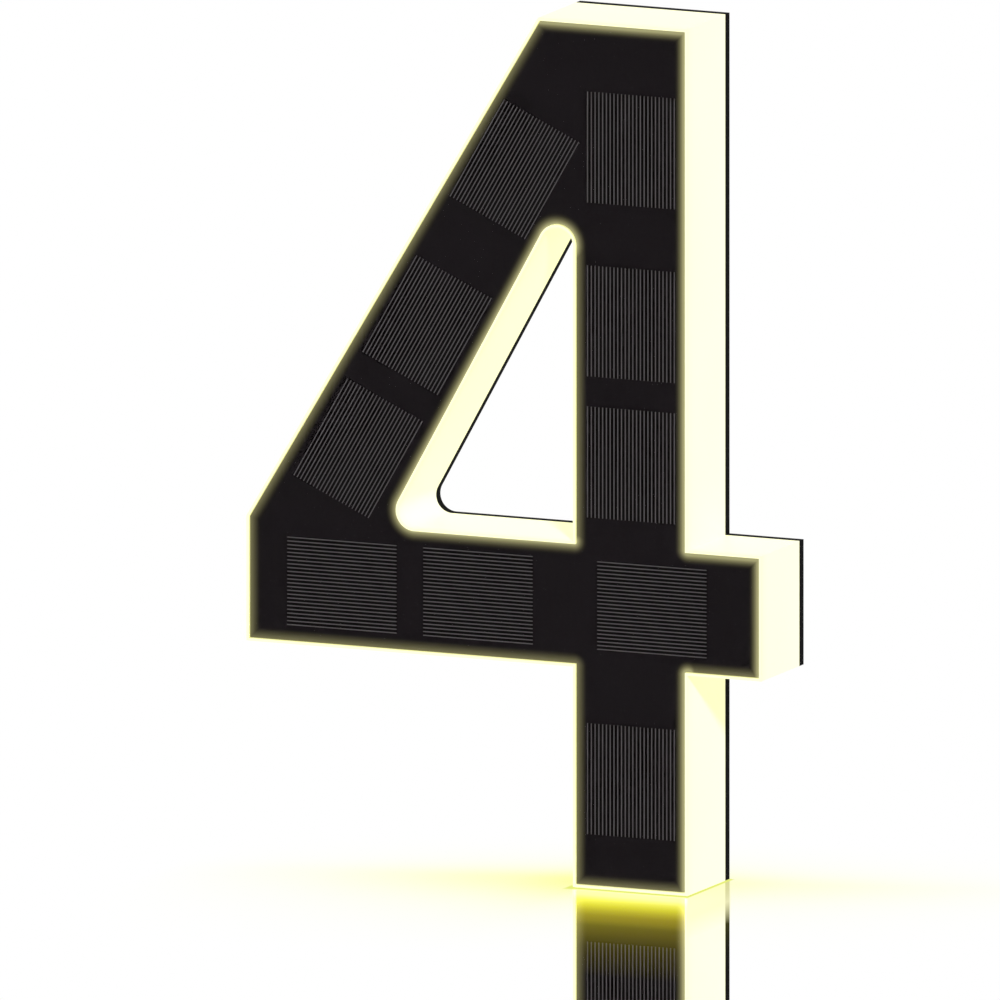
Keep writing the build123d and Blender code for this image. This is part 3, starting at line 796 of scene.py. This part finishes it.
def screw_places():
    """Middle of each cover screw's head."""
    heads = []
    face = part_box("cover_screws")[1].y
    for vertex in cad["cover_screws"].data.vertices:
        if vertex.co.y < face - FACE_TOLERANCE:
            continue
        for head in heads:
            if (head[0] - vertex.co).length < SCREW_APART:
                head.append(vertex.co.copy())
                break
        else:
            heads.append([vertex.co.copy()])
    return [sum(head, Vector()) / len(head) for head in heads]


def steel_with_recess_shade():
    """Screw steel, with painted shade down in the cross recess."""
    steel = ((150, 150, 152), (196, 196, 198), 0.3, (1200, 300, 1200))
    material = metal("cover_screw_steel", *steel)
    tree = material.node_tree
    base = tree.nodes["Principled BSDF"].inputs["Base Color"]
    _, y, _ = axes(tree, here(tree))
    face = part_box("cover_screws")[1].y
    # painted shade: the steel goes near black towards the recess bottom
    height = spread(tree, y, face - RECESS_SHADE_DEPTH, face - FACE_TOLERANCE, 0.1, 1.0)
    feed(tree, base, blend(tree, height, (0.01, 0.01, 0.01, 1), base.links[0].from_socket))
    return material


def cover_screws():
    """Cover screws with their cross recesses."""
    points = bpy.data.meshes.new("screw_places")
    points.from_pydata(screw_places(), [], [])
    one = bpy.data.objects.new("cover_screw", screw_mesh())
    bpy.context.scene.collection.objects.link(one)
    inputs = {"Screw": one, "Material": steel_with_recess_shade()}
    mesh = grown("cover_screw_set", screw_tree(), inputs, points)
    bpy.data.objects.remove(one)
    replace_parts(piece("cover_screw_set", mesh), "cover_screws")


# --------------------------------------------------------------------- studio


def side_pool(tree, x, y):
    """Share of the painted pool of light on the floor beside the foot."""
    beside = calc(tree, "SUBTRACT", calc(tree, "ABSOLUTE", x), HALF_STEM)
    along = curve(tree, spread(tree, beside, 0.0, POOL_REACH), POOL_SHARES)
    right = spread(tree, x, -HALF_STEM, HALF_STEM, 1.0, POOL_RIGHT_SHARE)
    along = calc(tree, "MULTIPLY", along, right)
    middle = calc(tree, "MULTIPLY_ADD", x, POOL_SLANT, POOL_MIDDLE)
    off = calc(tree, "SUBTRACT", y, middle)
    behind = calc(tree, "GREATER_THAN", off, 0.0)
    half = spread(tree, behind, 0, 1, POOL_BEFORE, POOL_BEHIND)
    square = calc(tree, "POWER", calc(tree, "DIVIDE", calc(tree, "ABSOLUTE", off), half), 2.0)
    across = calc(tree, "DIVIDE", 1.0, calc(tree, "ADD", square, 1.0))
    return calc(tree, "MULTIPLY", along, spread(tree, across, POOL_TAIL, 1.0))


def face_sheen(tree, x, y):
    """Share and colour of the painted light that lies over the reflection of the face."""
    ahead = calc(tree, "MULTIPLY_ADD", y, -1 / cos(VIEW_AZIMUTH), -FACE_LEVEL / cos(VIEW_AZIMUTH))
    reach = spread(tree, ahead, 0.0, FACE_SHEEN_REACH)
    share = curve(tree, reach, FACE_SHEEN_SHARES)
    tint = ramp(tree, reach, FACE_SHEEN_TINTS)
    shift = calc(tree, "MULTIPLY_ADD", y, tan(VIEW_AZIMUTH), FACE_LEVEL * tan(VIEW_AZIMUTH))
    off = calc(tree, "ABSOLUTE", calc(tree, "ADD", x, shift))
    band = spread(tree, off, HALF_STEM - FACE_SHEEN_SOFT, HALF_STEM + FACE_SHEEN_SOFT, 1.0, 0.0)
    before = calc(tree, "LESS_THAN", y, -FACE_LEVEL)
    return calc(tree, "MULTIPLY", calc(tree, "MULTIPLY", share, band), before), tint


def side_sheen(tree, x, y):
    """Share of the painted light that lies over the reflection of the right side."""
    ahead = calc(tree, "MULTIPLY_ADD", x, 1 / sin(VIEW_AZIMUTH), -HALF_STEM / sin(VIEW_AZIMUTH))
    share = curve(tree, spread(tree, ahead, 0.0, SIDE_SHEEN_REACH), SIDE_SHEEN_SHARES)
    origin = calc(tree, "MULTIPLY_ADD", ahead, cos(VIEW_AZIMUTH), y)
    off = calc(tree, "ABSOLUTE", calc(tree, "ADD", origin, FACE_LEVEL / 2))
    band = spread(tree, off, FACE_LEVEL / 2, FACE_LEVEL / 2 + SIDE_SHEEN_SOFT, 1.0, 0.0)
    right = calc(tree, "GREATER_THAN", x, HALF_STEM)
    return calc(tree, "MULTIPLY", calc(tree, "MULTIPLY", share, band), right)


def contact_line(tree, x, y):
    """Painted line of yellow-green shade along the foot's front and sides where it meets the floor."""
    beside = calc(tree, "SUBTRACT", calc(tree, "ABSOLUTE", x), HALF_STEM)
    before = calc(tree, "SUBTRACT", -FACE_LEVEL, y)
    side = calc(tree, "DIVIDE", beside, CONTACT_SIDE)
    front = calc(tree, "DIVIDE", before, CONTACT_FRONT)
    off = calc(tree, "MAXIMUM", side, front)
    line = spread(tree, off, 1 - CONTACT_SOFT, 1 + CONTACT_SOFT, 1.0, 0.0)
    return calc(tree, "MULTIPLY", line, calc(tree, "LESS_THAN", y, 0.0))


def laid_over(tree, shader, share, colour):
    """Shader under a share of plain coloured light."""
    light = add(tree, "ShaderNodeEmission", {"Color": colour, "Strength": 1.0}).outputs[0]
    return add(tree, "ShaderNodeMixShader", {0: share, 1: shader, 2: light}).outputs[0]


def floor_finish():
    """White gloss floor with the sign's pool of light, its sheens and a contact shade painted round its
    foot, for the camera only.
    """
    material = bpy.data.materials.new("floor")
    material.use_nodes = True
    tree = material.node_tree
    tree.nodes.clear()
    x, y, _ = axes(tree, here(tree))
    sheen, tint = face_sheen(tree, x, y)
    shader = add(tree, "ShaderNodeBsdfGlossy", {"Color": (1, 1, 1, 1), "Roughness": 0.0}).outputs[0]
    shader = laid_over(tree, shader, side_pool(tree, x, y), POOL_COLOUR)
    shader = laid_over(tree, shader, side_sheen(tree, x, y), SIDE_SHEEN_COLOUR)
    light = add(tree, "ShaderNodeEmission", {"Color": tint, "Strength": sheen}).outputs[0]
    shader = add(tree, "ShaderNodeAddShader", {0: shader, 1: light}).outputs[0]
    shader = laid_over(tree, shader, contact_line(tree, x, y), CONTACT_SHADE_COLOUR)
    clear = add(tree, "ShaderNodeBsdfTransparent").outputs[0]
    front = calc(tree, "SUBTRACT", 1.0, add(tree, "ShaderNodeNewGeometry").outputs["Backfacing"])
    seen = calc(tree, "MULTIPLY", front, add(tree, "ShaderNodeLightPath").outputs["Is Camera Ray"])
    both = add(tree, "ShaderNodeMixShader", {0: seen, 1: clear, 2: shader}).outputs[0]
    feed(tree, add(tree, "ShaderNodeOutputMaterial").inputs[0], both)
    return material


def floor():
    """Floor that the foot stands on."""
    half = FLOOR_SIZE / 2
    mesh = bpy.data.meshes.new("floor")
    corners = [(-half, -half, FOOT), (half, -half, FOOT), (half, half, FOOT), (-half, half, FOOT)]
    mesh.from_pydata(corners, [], [(0, 1, 2, 3)])
    mesh.materials.append(floor_finish())
    made = bpy.data.objects.new("floor", mesh)
    bpy.context.scene.collection.objects.link(made)


def world():
    """Even dome light, white where the camera, gloss or the clear film shows it."""
    sky = bpy.data.worlds.new("studio")
    bpy.context.scene.world = sky
    sky.use_nodes = True
    tree = sky.node_tree
    rays = add(tree, "ShaderNodeLightPath").outputs
    seen = calc(tree, "MAXIMUM", rays["Is Camera Ray"], rays["Is Glossy Ray"])
    seen = calc(tree, "MAXIMUM", seen, rays["Is Transmission Ray"])
    background = tree.nodes["Background"]
    background.inputs["Color"].default_value = (1, 1, 1, 1)
    feed(tree, background.inputs["Strength"], spread(tree, seen, 0, 1, DOME_LIGHT, 1.0))


def key_light():
    """Key light from the front, the right and above."""
    light = bpy.data.lights.new("key_light", "SUN")
    light.energy = KEY_STRENGTH
    light.angle = KEY_SPREAD
    made = bpy.data.objects.new("key_light", light)
    made.rotation_euler = Vector(KEY_WAY).to_track_quat("Z", "Y").to_euler()
    made.visible_transmission = False  # seen through the film, it would leave bright specks
    bpy.context.scene.collection.objects.link(made)


def back_lamp(name, place, power):
    """Square soft lamp behind the numeral, aimed at its middle, hidden from the camera and gloss."""
    light = bpy.data.lights.new(name, "AREA")
    light.energy = power
    light.size = BACK_LAMP_SIZE
    made = bpy.data.objects.new(name, light)
    target = Vector((REACH_LEFT / 3, 0, (TOP + FOOT) / 2))
    made.location = place
    made.rotation_euler = (target - Vector(place)).to_track_quat("-Z", "Y").to_euler()
    made.visible_camera = False
    made.visible_glossy = False
    bpy.context.scene.collection.objects.link(made)


def camera():
    """Parallel view of the photograph."""
    a, e = VIEW_AZIMUTH, VIEW_ELEVATION
    right = Vector((cos(a), sin(a), 0))
    up = Vector((-sin(a) * sin(e), cos(a) * sin(e), cos(e)))
    back = Vector((sin(a) * cos(e), -cos(a) * cos(e), sin(e)))
    data = bpy.data.cameras.new("camera")
    data.type = "ORTHO"
    data.ortho_scale = VIEW_WIDTH
    data.clip_start = 0.01
    data.clip_end = 20
    made = bpy.data.objects.new("camera", data)
    bpy.context.scene.collection.objects.link(made)
    place = right * VIEW_MIDDLE[0] + up * VIEW_MIDDLE[1] + back * VIEW_DISTANCE
    made.matrix_world = Matrix.Translation(place) @ Matrix((right, up, back)).transposed().to_4x4()
    bpy.context.scene.camera = made


bpy.context.scene.view_settings.view_transform = "Standard"
camera()
world()
floor()
key_light()
for name, (place, power) in BACK_LAMPS.items():
    back_lamp(name, place, power)
dress_solids()
cell_fingers()
film_sheet()
cover_screws()
